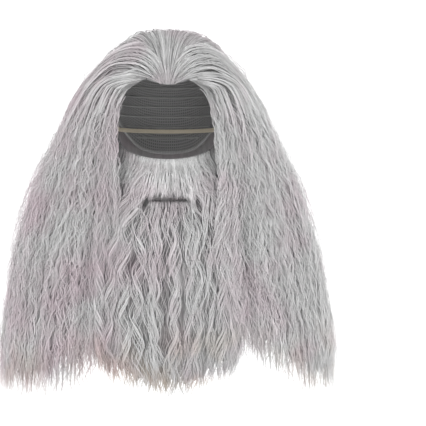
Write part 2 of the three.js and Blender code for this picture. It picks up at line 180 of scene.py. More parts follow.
#       z, z at the sides, half-width, front, edge, thickness
BEARD = np.array([
    (-163, -126, 70, -110, -16, 2.2),
    (-188, -156, 71, -111.5, -24, 11),
    (-217, -192, 73, -112, -42, 16),
    (-250, -232, 79, -112, -66, 20),
    (-298, -284, 84, -113, -84, 23),
    (-348, -334, 89, -114, -92, 23),
    (-396, -376, 91, -114, -97, 20),
    (-442, -412, 90, -113, -102, 15),
    (-487, -446, 88, -112, -106, 8),
]) * MM
print("bell is", round(2000 * BELL[-1, 1]), "mm wide at the tips")


# %% Places between the rows
def smooth(x, low, high):
    """A soft step from 0 at low to 1 at high."""
    t = np.clip((x - low) / (high - low), 0, 1)
    return t * t * (3 - 2 * t)


def mix(a, b, share):
    return a + (b - a) * share


def unit(v):
    return v / np.maximum(np.linalg.norm(v, axis=-1, keepdims=True), 1e-12)


def between(values, at):
    """Value of a column between its rows, on a smooth curve through them."""
    last = len(values) - 1
    at = np.clip(at, 0, last)
    i = np.clip(np.floor(at).astype(int), 0, last - 1)
    t = at - i
    a, b, c, d = (values[np.clip(i + k, 0, last)] for k in (-1, 0, 1, 2))
    return b + 0.5 * t * (c - a + t * (2 * a - 5 * b + 4 * c - d + t * (3 * (b - c) + d - a)))


def on_section(z, side, front, back, azimuth):
    """Point at an azimuth on a section: 0 is the front, a quarter turn the wearer's left."""
    depth = np.where(np.cos(azimuth) > 0, front, back)
    return np.stack([side * np.sin(azimuth), -depth * np.cos(azimuth), z + 0 * azimuth], -1)


print("half-width of the cap between two rows:", round(float(between(HEAD[:, 1], 4.5)) / MM, 1), "mm")

# %% Places on the bell, the cap and the beard
BELL_TOP = 0.06  # nearest level to the top of the bell, where its directions can still be told
NEARBY = {"turn": 0.02, "level": 0.03}  # how far away the neighbours are that give a direction
CAP_TOP = -0.5 * MM  # highest place of the cap at which hair is rooted
FRONT_COSINE = 0.2  # cosine of the azimuth above which hair is rooted straight behind
WIDEST_ROOT = 0.985  # share of the cap's half-width within which it is
BEARD_LEAN = 0.8  # how far the direction out of the beard turns to the side at its edges
BEARD_LOW = 5  # row below which the beard's rows rise sooner towards its sides
BEARD_RISE = {"high": 2.0, "low": 1.6}  # power of that rise above the row and below it


def bell_point(azimuth, level):
    return on_section(*(between(BELL[:, k], level) for k in range(4)), azimuth)


def on_bell(azimuth, level):
    """Points on the wig's outer form and the directions out of it."""
    level = np.maximum(level, BELL_TOP)
    around = bell_point(azimuth + NEARBY["turn"], level) - bell_point(azimuth - NEARBY["turn"], level)
    down = bell_point(azimuth, level + NEARBY["level"]) - bell_point(azimuth, level - NEARBY["level"])
    return bell_point(azimuth, level), unit(np.cross(down, around))


def on_cap(azimuth, z):
    """Points on the outside of the cap at a height."""
    side, front, back = (np.interp(-z, -HEAD[:, 0], HEAD[:, k]) + CAP_WALL * MM for k in (1, 2, 3))
    return on_section(z, side, front, back, azimuth)


def behind(surface, azimuth):
    """Points of the cap straight behind points at the wig's front, and level with those at its back."""
    z = np.minimum(surface[..., 2], CAP_TOP)
    side = np.interp(-z, -HEAD[:, 0], HEAD[:, 1]) + CAP_WALL * MM
    facing = np.arcsin(np.clip(surface[..., 0] / side, -WIDEST_ROOT, WIDEST_ROOT))
    return on_cap(np.where(np.cos(azimuth) > FRONT_COSINE, facing, azimuth), z)


def on_beard(across, row, lift):
    """Points of the beard at a share across it and a row, lifted off its back, and the directions out."""
    z, z_side, half, front, edge = (between(BEARD[:, k], row) for k in range(5))
    turn = across * math.pi / 2
    out = unit(np.stack([BEARD_LEAN * np.sin(turn), -1 + 0 * turn, 0 * turn], -1))
    rise = np.abs(across) ** np.where(row > BEARD_LOW, BEARD_RISE["low"], BEARD_RISE["high"])
    back = np.stack([half * np.sin(turn), mix(edge, front, np.cos(turn)), mix(z, z_side, rise)], -1)
    return back + out * np.asarray(lift)[..., None], out


print("forms: bell, cap and beard")

# %% [markdown]
# ## How the hair runs
# A flow says where a hair at share u across its field is, at share t along its length. At the sides the
# hair leaves the hairline, sweeps up and back, arches over and falls. On the crown it fans from behind the
# peak over the head and down the back. In the beard it falls from the backing. Flows save placing hairs
# one by one: a whole field follows from a short table.

# %% Flows of the wig
#   root azimuth, root level, rise, share in which it turns, bow, hem azimuth, hem level;
#   from the edge of the face to behind the ear
LEFT_RUN = np.array([
    (15.0, 4.20, 0.0, 0.08, 4.5, 24.5, 12.17),
    (15.0, 4.15, 0.3, 0.11, 2.5, 39.0, 12.57),
    (12.0, 4.20, 0.9, 0.16, 0.0, 57.0, 12.95),
    (3.0, 4.45, 2.1, 0.20, 0.0, 75.0, 13.0),
    (4.0, 3.90, 1.9, 0.25, 0.0, 93.0, 12.8),
    (30.0, 1.40, 0.0, 0.40, 0.0, 116.0, 12.8),
])
RIGHT_RUN = np.array([
    (17.0, 4.20, 0.0, 0.08, 6.0, 25.5, 12.58),
    (16.0, 4.15, 0.3, 0.11, 3.0, 40.0, 12.93),
    (12.0, 4.20, 0.9, 0.16, 0.0, 56.0, 13.0),
    (3.0, 4.45, 2.1, 0.20, 0.0, 74.0, 13.0),
    (4.0, 3.90, 1.9, 0.25, 0.0, 92.0, 12.85),
    (30.0, 1.40, 0.0, 0.40, 0.0, 116.0, 12.85),
])
#   a few locks that come round from behind the edge of the face and hang over the beard's sides
INNER_RUN = np.array([
    (31.0, 4.20, 0.0, 1.0, 0.0, 13.0, 12.0),
    (36.0, 4.20, 0.0, 1.0, 0.0, 25.0, 12.3),
])
FALL = 1.1  # power by which hair gains speed on its way down
RISEN = 0.22  # share of its length in which the front hair rises and comes down again
BOW = {"share": 0.4, "power": 0.6}  # stretch in which hair at the edge of the face bows out, and how early
STAND_OFF = {"from": (0.08, 0.25), "until": (0.6, 0.95), "lost": 0.75}  # where the sides stand off the bell
FLARES = (0.7, 0.95)  # shares of the length between which the tips flare
#   level and half-angle of the roots behind the peak, then azimuths and level of the hem
CROWN_FAN = {"level": 4.45, "spread": 7.0, "from": 104.0, "to": 256.0, "hem": 12.95}


def side_flow(turn, run, full, flare):
    """Flow of one side of the wig: turn is 1 on the wearer's left and -1 on the right.

    It stands out from its form by full, and by flare at the tips, in millimetres.
    """
    def flow(u, t):
        at = u * (len(run) - 1)
        root, root_level, rise, turned, bow, hem, hem_level = (between(run[:, k], at) for k in range(7))
        bowed = bow * np.sin(math.pi * np.clip(t / BOW["share"], 0, 1) ** BOW["power"])
        azimuth = np.radians(turn * (mix(root, hem, smooth(t, 0, turned)) + bowed))
        lifted = rise * np.sin(math.pi * np.clip(t / RISEN, 0, 1))
        level = mix(root_level, hem_level, np.maximum(t, 0) ** FALL) - lifted
        surface, out = on_bell(azimuth, level)
        kept = 1 - STAND_OFF["lost"] * smooth(t, *STAND_OFF["until"])
        standing = full * MM * smooth(t, *STAND_OFF["from"]) * kept
        standing = standing + flare * MM * smooth(t, *FLARES)
        return surface + out * standing[..., None], out, behind(surface, azimuth)
    return flow


def back_flow(u, t):
    """Flow of the crown and the back: straight lines in a plan whose radius is the level."""
    root = np.radians(mix(CROWN_FAN["spread"], -CROWN_FAN["spread"], u))
    hem = np.radians(mix(CROWN_FAN["from"], CROWN_FAN["to"], u))
    start = CROWN_FAN["level"] * np.stack([np.sin(root), -np.cos(root)], -1)
    end = CROWN_FAN["hem"] * np.stack([np.sin(hem), -np.cos(hem)], -1)
    plan = mix(start, end, (np.maximum(t, 0) ** FALL)[..., None])
    level = np.linalg.norm(plan, axis=-1)
    azimuth = np.arctan2(plan[..., 0], -plan[..., 1])
    surface, out = on_bell(azimuth, level)
    return surface, out, on_cap(azimuth, np.minimum(surface[..., 2], CAP_TOP))


print("wig flows: two sides, the locks inside them, and the back")

# %% Flows of the beard
SLIT_ROW = 2.03  # row of BEARD just under the mouth slit
LIP = (0.30, 0.42)  # shares across the beard between which its hair starts lower, for the mouth
DRAWN_IN = {"to": 0.72, "edge": (0.65, 1), "rows": 3.5}  # the upper beard is drawn in, but for its edges
MOUSTACHE = {
    "half": 0.46,  # half its width, as a share of the beard's
    "spread": (0.76, 1.18),  # how it spreads from its roots to its tips
    "rows": (2.0, 2.9),  # row of BEARD that it reaches in the middle and at the corners of the mouth
    "corner": (0.22, 0.8),  # shares of its half-width between which it gets longer
    "thick": 0.75,  # its thickness, as a share of the beard's
}


def beard_flow(u, t):
    """Flow of the beard: from its top edge at the cheeks, and from under the mouth slit, to its tips."""
    across = 2 * u - 1
    top = SLIT_ROW * (1 - smooth(np.abs(across), *LIP))
    row = mix(top, len(BEARD) - 1, t)
    drawn_in = mix(DRAWN_IN["to"], 1, smooth(np.abs(across), *DRAWN_IN["edge"]))
    across = across * mix(drawn_in, 1, smooth(row, 0, DRAWN_IN["rows"]))
    surface, out = on_beard(across, row, between(BEARD[:, 5], row))
    return surface, out, on_beard(across, row, 0 * row)[0]


def moustache_flow(u, t):
    """Flow of the moustache, which spreads from the top edge towards the corners of the mouth."""
    across = MOUSTACHE["half"] * (2 * u - 1) * mix(*MOUSTACHE["spread"], t)
    row = t * mix(*MOUSTACHE["rows"], smooth(np.abs(2 * u - 1), *MOUSTACHE["corner"]))
    surface, out = on_beard(across, row, MOUSTACHE["thick"] * between(BEARD[:, 5], row))
    return surface, out, on_beard(across, row, 0 * row)[0]


print("beard flows: the beard and the moustache")

# %% [markdown]
# ## Growing strands
# A coat is one layer of hair: some locks, with a number of strands in each. The strands of a lock share one
# wave, which is what makes crimped hair fall in ripples, and each also has a little frizz of its own. Some
# locks have a flat core, so that they read as one. A strand is a thin closed tube. A particle system could
# grow hair too, but a coat that is worked out as arrays comes out as a plain closed mesh, with every
# strand where the flow puts it.

# %% What a coat is like
COAT = {  # sizes are in millimetres, and places are shares of the flow
    "over": (0, 1),  # part of the flow that it covers
    "start": (0, 0),  # where its strands begin, by chance between these places
    "tip": (0.92, 1.0),  # where they end
    "sink": (0, 6),  # how far its locks lie under the form, or above it if below 0
    "loft": 3.0,  # how far a lock bulges
    "gather": 0.5,  # how much a lock gets narrower on its way
    "grip": (0.04, 0.4),  # where it does
    "pinched": 0.4,  # how unevenly it does
    "wave": 3.0,  # size of the waves of a lock
    "period": 38.0,  # length of a wave
    "calm": 60.0,  # length in which the waves grow
    "even": 0.07,  # how much their size differs within a lock
    "apart": 0.4,  # how far neighbouring locks are out of step
    "loose": 0.35,  # how far the strands of a lock are
    "stray": 0.7,  # how far a lock strays sideways, in sizes of its waves
    "frizz": 0.5,  # size of each strand's own small waves
    "half": 0.45,  # half the width of a strand
    "flat": 0.8,  # its thickness, as a share of its width
    "taper": 0.8,  # share of its length from which it gets thinner
    "core": 0.0,  # half the width of a flat strand in the middle of each lock, or 0 for none
    "step": 8.0,  # distance between the points of a strand
    "sides": 3,  # sides of its tube
    "deep": 0.3,  # painted shade, from 0 on top of the hair to 1 far inside, where it is darkest
    "tone": 0.0,  # how much paler its strands are
    "vary": 0.1,  # how much the shade differs from lock to lock
    "lift_over": 60.0,  # length in which strands come up from their roots
    "bury": 7.0,  # how far under the coat strands with no root begin
    "gaps": (),  # gaps round which its strands are pushed aside
}
#     flatness of a core, how much more painted shade it gets than its lock, and how much lower it lies
CORE = {"flat": 0.14, "deep": 0.2, "sink": 1.5}


class Chance:
    """Seeded chance: a column with one draw for each strand, or with one that a lock's strands share."""

    def __init__(self, seed, locks, strands):
        self.rng = np.random.default_rng(seed)
        self.locks = locks
        self.count = locks * strands
        self.lock = np.repeat(np.arange(locks), strands)

    def each(self, low, high):
        return self.rng.uniform(low, high, self.count)[:, None]

    def of_lock(self, low, high):
        return self.rng.uniform(low, high, self.locks)[self.lock, None]

    def each_near(self, middle, spread):
        return self.rng.normal(middle, spread, self.count)[:, None]

    def of_lock_near(self, middle, spread):
        return self.rng.normal(middle, spread, self.locks)[self.lock, None]

    def way_of_lock(self):
        return self.rng.choice([-1.0, 1.0], self.locks)[self.lock, None]


print("a coat has", len(COAT), "settings")

# %% Where the strands lie
DENSE = 140  # places along a flow at which a strand's length is measured
LOCK = {"jitter": 0.35, "spread": 0.8}  # a lock's shift and half-width, as shares of the room that it has
IN_LOCK = (0.1, 1)  # how far out in its lock a strand lies
LAST_START = 0.97  # share of the flow after which no strand begins
SHORTEST = 0.04  # share of the flow that a strand covers at least
LONGER = 0.03  # share of the flow by which a lock's own limit may lie beyond the tips of its coat
PINCHES = (4, 9)  # half-turns of the pinching along a flow
ANY_TURN = (0, 6)  # where in its turn a wave may start, in radians
ROOTED = 0.03  # a strand that starts before this share has its root on the cap or the backing
SETTLED = (0, 1.5)  # how much deeper single strands settle, in millimetres
DEEPEST = 0.9  # share of the room over the cap or the backing within which hair stays
FEWEST = 4  # points of the shortest strand
FLOW_LENGTH = 0.5  # rough length of a flow, which keeps the waves of different coats in step


def frames(points, out):
    """Directions across and out of strands, square to the way they run."""
    along = unit(np.gradient(points, axis=1))
    across = unit(np.cross(along, out))
    return across, np.cross(across, along)


def resample(values, length, stations):
    """Values along strands at evenly spaced places, from values at the distances in length."""
    share = np.linspace(0, 1, stations)
    made = np.empty((len(values), stations, values.shape[-1]))
    for i, (rows, at) in enumerate(zip(values, length)):
        for k in range(values.shape[-1]):
            made[i, :, k] = np.interp(share * at[-1], at, rows[:, k])
    return made


def spread_strands(coat, chance, single):
    """Shares across and along the flow, the middles of the locks, and how far strands bulge out of them."""
    middle = (chance.lock[:, None] + 0.5 + chance.of_lock(-LOCK["jitter"], LOCK["jitter"])) / chance.locks
    aside = chance.each(-1, 1) * single
    bulge = np.sqrt(1 - aside ** 2) * chance.each(*IN_LOCK) * single
    begin = np.clip(chance.each(*coat.start), 0, LAST_START)
    finish = np.minimum(chance.each(*coat.tip), chance.of_lock(coat.tip[0], coat.tip[1] + LONGER))
    finish = np.maximum(finish, begin + SHORTEST)
    t = mix(begin, finish, np.linspace(0, 1, DENSE))
    turns = chance.of_lock(*PINCHES) * math.pi * t + chance.of_lock(*ANY_TURN)
    narrow = 1 - coat.gather * smooth(t, *coat.grip) * (1 - coat.pinched + coat.pinched * np.sin(turns))
    u = np.abs(middle + LOCK["spread"] * aside * narrow / chance.locks)
    return 1 - np.abs(1 - u), t, middle, bulge


def lay_strands(flow, coat, u, t, depth):
    """Strands laid on a flow at a depth: their points, the directions out, and distances along them."""
    surface, out, root = flow(mix(*coat.over, u), t)
    hops = np.linalg.norm(np.diff(surface, axis=1), axis=2)
    run = np.concatenate([np.zeros((len(hops), 1)), np.cumsum(hops, axis=1)], 1)
    room = np.maximum(((surface - root) * out).sum(2), 0)
    begin = t[:, :1]
    rooted = begin < ROOTED
    hold = 1 - smooth(run, 0, coat.lift_over * MM)
    buried = depth * MM + np.where(rooted, 0, coat.bury * MM) * hold
    base = surface - out * np.minimum(buried, DEEPEST * room)[..., None]
    base = np.where(rooted[..., None], mix(base, root, hold[..., None]), base)
    stations = max(FEWEST, int(np.ceil(np.mean(run[:, -1]) / (coat.step * MM))))
    at = run[:, -1:] * np.linspace(0, 1, stations) + begin * FLOW_LENGTH
    return resample(base, run, stations), unit(resample(out, run, stations)), at


print("strands are measured at", DENSE, "places along a flow")

# %% Waves and frizz
LYING = (20 * MM, -50 * MM)  # heights on the crown between which the hair takes up its wave
#   size, radians across the flow and start of each swing in the phase of locks
WANDER = [(4.4, 4.4, 0.6), (1.3, 12, 2), (0.7, 29, 0)]
WAVE = {
    "length": (0.94, 1.08),  # how the length of a lock's waves differs from the coat's
    "size": (0.6, 1.2),  # how their size does
    "grows": (0.3, 1.6),  # shares of calm between which they grow
    "depth": 0.5,  # how far they go in and out, as a share of how far they go sideways
}
#   length of one radian of straying, and the length in which it grows
STRAY = {"length": 45 * MM, "grows": 200 * MM}
FRIZZ = {"length": (13, 26), "grows": (0.2, 1.0), "depth": 0.8}  # as for waves, with lengths in mm


def wander(u):
    """Where in its wave a lock is: neighbours are nearly in step, whatever coat they belong to."""
    return sum(size * np.sin(angle * u + first) for size, angle, first in WANDER)


def waved(base, out, at, coat, chance, middle, single):
    """Strands with the waves of their locks and their own frizz."""
    across, away = frames(base, out)
    phase = wander(mix(*coat.over, middle)) + chance.of_lock_near(0, coat.apart)
    phase = phase + chance.each_near(0, coat.loose) * single
    swing = FULL_TURN * at / (chance.of_lock(*WAVE["length"]) * coat.period * MM) + phase
    handed = chance.way_of_lock()
    risen = smooth(base[..., 2], *LYING)
    ripe = smooth(at, *(share * coat.calm * MM for share in WAVE["grows"])) * risen
    uneven = chance.of_lock(*WAVE["size"]) * chance.each(1 - coat.even, 1 + coat.even)
    size = ripe * (uneven * coat.wave * MM)
    strayed = chance.of_lock(-coat.stray, coat.stray)
    drift = strayed * np.sin(at / STRAY["length"] + chance.of_lock(*ANY_TURN))
    drift = drift * coat.wave * MM * smooth(at, 0, STRAY["grows"])
    own = FULL_TURN * at / (chance.each(*FRIZZ["length"]) * MM) + chance.each(*ANY_TURN)
    grown = smooth(at, *(share * coat.calm * MM for share in FRIZZ["grows"]))
    fuzz = coat.frizz * MM * np.sin(own) * grown * single * risen
    path = base + across * (size * np.sin(swing) + drift + fuzz)[..., None]
    return path + away * (WAVE["depth"] * handed * size * np.cos(swing) + FRIZZ["depth"] * fuzz)[..., None]


print("waves of a plain coat are", COAT["period"], "mm long")

# %% Gaps between locks
#   x and z of a gap between locks, its half-width, half-length and how far the strands are pushed aside
BEARD_GAPS = np.array([
    (-30, -225, 5, 12, 8),
    (40, -224, 5, 12, 8),
]) * MM
FRONT_GAPS = np.array([
    (-68, -41, 6, 16, 9),
    (54, -44, 5, 13, 6),
    (-96, -84, 4, 14, 4),
    (88, -80, 4, 14, 4),
]) * MM
#   share by which strands give way, how much it differs, and radians from one strand to the next
PUSHED = {"middle": 0.72, "spread": 0.4, "turn": 7.1}


def with_gaps(path, out, gaps):
    """Strands pushed aside along their own across direction, round each gap at the front of the hair."""
    uneven = np.sin(PUSHED["turn"] * np.arange(len(path)))[:, None]
    uneven = PUSHED["middle"] + PUSHED["spread"] * uneven
    for x, z, wide, tall, push in gaps:
        across, away = frames(path, out)
        along = np.cross(away, across)
        reach = path - np.array([x, 0, z])
        aside = reach[..., 0] * across[..., 0] + reach[..., 2] * across[..., 2]
        down = reach[..., 0] * along[..., 0] + reach[..., 2] * along[..., 2]
        near = np.exp(-(aside / wide) ** 2 - (down / tall) ** 2) * (path[..., 1] < 0)
        way = np.where((aside * near).sum(1, keepdims=True) > 0, 1, -1)
        path = path + across * (way * push * uneven * near)[..., None]
    return path


print("gaps:", len(BEARD_GAPS), "in the beard and", len(FRONT_GAPS), "at the front of the wig")

# %% A coat as one mesh
WIDTHS = (0.75, 1.25)  # how the widths of single strands differ from the coat's
ROOT_SLIM = {"width": 0.5, "share": 0.06}  # a strand starts at this width and is full after this share
TIP_SLIM = 0.1  # width of its tip
SHADE = {"middle": 0.25, "spread": 0.11, "range": (-0.1, 0.65)}
GRAIN_APART = 1.7  # distance of neighbouring strands in the grain


def tubes(path, out, wide, thick, sides, at, shade, deep):
    """Closed tubes along strands: points and faces, and the shade, depth and grain of the points."""
    across, away = frames(path, out)
    count, stations, _ = path.shape
    turn = FULL_TURN * np.arange(sides) / sides + math.pi / 2
    sideways = (wide[..., None] * np.cos(turn))[..., None]
    outwards = (thick[..., None] * np.sin(turn))[..., None]
    ring = across[:, :, None] * sideways + away[:, :, None] * outwards
    points = (path[:, :, None] + ring).reshape(-1, 3)
    index = np.arange(count * stations * sides).reshape(count, stations, sides)
    ahead = np.roll(index, -1, axis=2)
    walls = np.stack([index[:, :-1], index[:, 1:], ahead[:, 1:], ahead[:, :-1]], -1).reshape(-1, 4)
    faces = walls.tolist() + index[:, 0].tolist() + index[:, -1, ::-1].tolist()

    def spread(values):
        return np.repeat(values, stations * sides)

    around = np.tile(np.arange(sides), count * stations) / sides
    grain_across = spread(np.arange(count) * GRAIN_APART) + around * 2 * spread(wide.max(1)) / MM
    grain = np.stack([grain_across, np.repeat(at.ravel(), sides) / MM], -1)
    return points, faces, spread(shade), spread(deep), grain


def grow(flow, seed, locks, strands, **settings):
    """One coat of hair on a flow: a number of locks, and of strands in each, with settings as in COAT."""
    coat = SimpleNamespace(**{**COAT, **settings})
    chance = Chance(seed, locks, strands)
    in_core = (np.arange(chance.count)[:, None] % strands == 0) & (coat.core > 0)
    single = np.where(in_core, 0.0, 1.0)
    u, t, middle, bulge = spread_strands(coat, chance, single)
    depth = chance.of_lock(*coat.sink) + chance.each(*SETTLED) - coat.loft * bulge + CORE["sink"] * in_core
    base, out, at = lay_strands(flow, coat, u, t, depth)
    path = with_gaps(waved(base, out, at, coat, chance, middle, single), out, coat.gaps)
    share = np.linspace(0, 1, path.shape[1])
    slim = mix(ROOT_SLIM["width"], 1, smooth(share, 0, ROOT_SLIM["share"]))
    slim = slim * mix(1, TIP_SLIM, smooth(share, coat.taper, 1))
    wide = np.where(in_core, coat.core, coat.half) * chance.each(*WIDTHS) * MM * slim
    thick = wide * np.where(in_core, CORE["flat"], coat.flat)
    shade = chance.each_near(SHADE["middle"] + coat.tone, SHADE["spread"])
    shade = np.clip(shade + chance.of_lock(-coat.vary, coat.vary), *SHADE["range"])
    # cores get more painted shade than the other strands of their lock
    deep = np.where(in_core, coat.deep + CORE["deep"], coat.deep)
    return tubes(path, out, wide, thick, coat.sides, at, shade, deep)


print("a plain strand is", 2 * COAT["half"], "mm wide")

# %% Sheets under the strands
SHEET = {  # places are shares of the flow
    "tuft": -0.05,  # by how much every second column ends higher
    "uneven": 0.02,  # by how much the tufts differ
    "uneven_turn": 9,  # radians from one column to the next
    "tufted": 0.2,  # stretch before the end in which the tufts part
    "ripples": 60,  # radians of the ripple across the flow
    "rippled": (0.1, 0.4),  # where the ripple grows
    "thins": (0.35, 0.1),  # how far before the end it begins to get thin, and is thin
    "thin": 0.8,  # its thickness from there, in millimetres
    "dives": (0.2, 0.6),  # shares of the sheet between which it doesn't dive
    "room": (0.8, 0.97),  # shares of the room over the cap or backing within which its two faces stay
    "rooted": 0.2,  # power by which they keep closer to the roots at first
    "leaves": (0.15, 0.4),  # where they leave the roots, and the sheet's painted shade eases from its darkest to its setting
    "pales": (0.55, 0.9),  # where its painted shade gets lighter again
    "paler": 0.75,  # by how much
    "shade": 0.2,
    "grain": (300, 500),  # size of the grain's map, across and along
}


def volume(points, quads):
    """Signed volume that quads enclose, which is above 0 where they face outwards."""
    a, b, c, d = (points[quads[:, k]] for k in range(4))
    return (np.cross(b, c) * a).sum() + (np.cross(c, d) * a).sum()


def closed_quads(index):
    """Quads over rows of points that each go round a sheet, and over its two ends."""
    columns = index.shape[1] // 2
    ahead = np.roll(index, -1, axis=1)
    quads = [np.stack([index[:-1], ahead[:-1], ahead[1:], index[1:]], -1).reshape(-1, 4)]
    for row, order in ((index[0], -1), (index[-1], 1)):
        front, rear = row[:columns], row[columns:][::-1]
        quads.append(np.stack([front[:-1], front[1:], rear[1:], rear[:-1]], -1)[:, ::order])
    return np.concatenate(quads)


def under_sheet(flow, over, reach, sinks, columns=28, rows=40, wave=2.0, deep=1.0, dive=0.0):
    """A closed sheet under the strands, which follows the flow, so nothing shows through the hair.

    Its faces lie under the form by sinks, and by dive more at both ends. Painted shade darkens it most at
    its start, then by the amount that its argument gives further on, and less again near its end.
    """
    u, t = np.meshgrid(np.linspace(*over, columns), np.linspace(*reach, rows))
    end = reach[1]
    tufts = np.where(np.arange(columns) % 2, 0.0, SHEET["tuft"])
    tufts = tufts + SHEET["uneven"] * np.sin(SHEET["uneven_turn"] * np.arange(columns))
    t = t + tufts * smooth(t, end - SHEET["tufted"], end)
    surface, out, root = flow(u, t)
    room = np.maximum(((surface - root) * out).sum(2), 0)
    ripple = wave * MM * np.sin(SHEET["ripples"] * u) * smooth(t, *SHEET["rippled"])
    thin = smooth(t, *(end - before for before in SHEET["thins"]))
    calm_from, calm_to = (mix(*reach, share) for share in SHEET["dives"])
    dived = dive * (1 - smooth(t, reach[0], calm_from) + smooth(t, calm_to, end))
    depths = (sinks[0] + dived, mix(sinks[1], sinks[0] + SHEET["thin"], thin) + dived)
    left = smooth(t, *SHEET["leaves"])
    faces = []
    for depth, share in zip(depths, SHEET["room"]):
        held = mix(share ** SHEET["rooted"], share, left) * room
        faces.append(surface - out * np.minimum(depth * MM - ripple, held)[..., None])
    ring = np.concatenate([faces[0], faces[1][:, ::-1]], 1)
    points = ring.reshape(-1, 3)
    quads = closed_quads(np.arange(len(points)).reshape(ring.shape[:2]))
    if volume(points, quads) < 0:
        quads = quads[:, ::-1]
    grain_across = np.concatenate([u, u[:, ::-1]], 1).ravel() * SHEET["grain"][0]
    grain = np.stack([grain_across, np.repeat(t[:, 0] * SHEET["grain"][1], 2 * columns)], -1)
    # painted shade of the sheet: darkest at its roots, lighter again near its end
    dark = mix(1.0, deep, left[:, 0]) * (1 - SHEET["paler"] * smooth(t[:, 0], *SHEET["pales"]))
    return points, quads.tolist(), np.full(len(points), SHEET["shade"]), np.repeat(dark, 2 * columns), grain


print("a sheet is", SHEET["thin"], "mm thick at its tips")


# %% Pieces of hair
def hair_piece(name, parts, material, node):
    """One piece of hair from sheets and coats, which stands for a node of the frame."""
    starts = np.cumsum([0] + [len(part[0]) for part in parts])
    faces = [[first + i for i in face] for first, part in zip(starts, parts) for face in part[1]]
    points, shade, deep, grain = (np.concatenate([part[k] for part in parts]) for k in (0, 2, 3, 4))
    mesh = bpy.data.meshes.new(name)
    mesh.from_pydata(points, [], faces)
    mesh.polygons.foreach_set("use_smooth", np.ones(len(mesh.polygons), bool))
    mesh.attributes.new("shade", "FLOAT", "POINT").data.foreach_set("value", shade)
    # painted shade of each point, more where it lies far inside the hair
    mesh.attributes.new("deep", "FLOAT", "POINT").data.foreach_set("value", deep)
    point_of_corner = np.empty(len(mesh.loops), int)
    mesh.loops.foreach_get("vertex_index", point_of_corner)
    mesh.uv_layers.new(name="grain").data.foreach_set("uv", grain[point_of_corner].ravel())
    mesh.materials.append(material)
    piece = bpy.data.objects.new(name, mesh)
    bpy.context.scene.collection.objects.link(piece)
    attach(piece, "root")
    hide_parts(node)
    print(name, "has", sum(len(face) - 2 for face in faces), "triangles")


# %% [markdown]
# ## Hair finishes
# The hair is synthetic: grey and a little glossy, with pale strands on top and the strands under them
# darkened with painted shade, a faint blush of lilac in patches, and some warmth at the tips. Each point
# carries the random shade of its strand and how much painted shade it gets for lying far inside, and a fine
# grain runs along it. Noise in the shader nodes does this at any size, where a painted picture would
# stretch along the strands.

# %% Hair finish
GRAIN = {
    "stretch": (0.45, 0.02, 1),  # fine across a strand and long along it
    "scale": 1.0,
    "detail": 3.0,
    "share": 0.8,  # how much of the tone comes from it
    "bump": 0.3,
    "depth": 0.4 * MM,
}
SHADE_STOPS = (0.3, 0.65, 1.0)  # tones at which the hair is dark, middling and pale
#   patches of lilac, more of them on the wearer's right
BLUSH = {"side": -0.4, "scale": 15.0, "detail": 2.0, "range": (0.41, 0.72), "most": 0.9}
#   warm patches, which set in between these heights
WARMTH = {"heights": (-0.38, -0.46), "scale": 24.0, "detail": 1.0, "range": (0.4, 0.62)}
PAINTED_SHADE_GREY = 176  # painted shade: the grey that hair far inside is multiplied by
HAIR_GLOSS = {"roughness": 0.62, "specular": 0.18}
LILAC = (251, 235, 242)


def add_node(tree, kind, inputs, **settings):
    """A shader node with its settings. Inputs that are sockets are linked to it, and others are set."""
    node = tree.nodes.new("ShaderNode" + kind)
    for key, value in settings.items():
        setattr(node, key, value)
    for key, value in inputs.items():
        if isinstance(value, bpy.types.NodeSocket):
            tree.links.new(value, node.inputs[key])
        else:
            node.inputs[key].default_value = value
    return node


